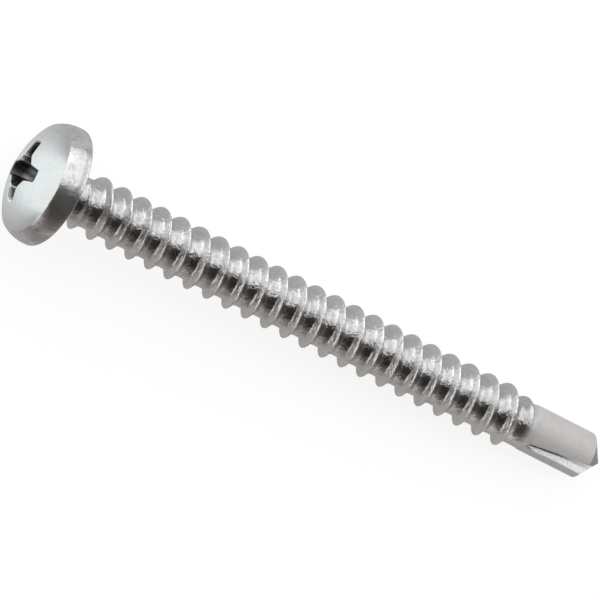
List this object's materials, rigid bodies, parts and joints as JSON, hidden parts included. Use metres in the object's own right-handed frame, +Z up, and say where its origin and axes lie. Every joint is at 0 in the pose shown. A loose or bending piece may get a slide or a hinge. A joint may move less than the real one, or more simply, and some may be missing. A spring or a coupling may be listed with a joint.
{
  "type": "self drilling screw",
  "caption": "Pan head screw with a cross recess, a coarse tapping thread along the whole shank and a fluted drill point, for fastening thin sheet steel.",
  "frame": {"origin": "centre of the flat bearing face under the head", "axes": "+X from the head towards the point, level, with the screw's own axis dipping 3.4 degrees below it as the screw lies on the rim of its head and its last full thread crest; +Z up"},
  "size_m": [0.0388, 0.007, 0.007],
  "materials": {
    "zinc_steel": "bright zinc plate, clear, lightly tarnished in the thread"
  },
  "bodies": {
    "root": {"screw": "zinc_steel"}
  },
  "joints": []
}
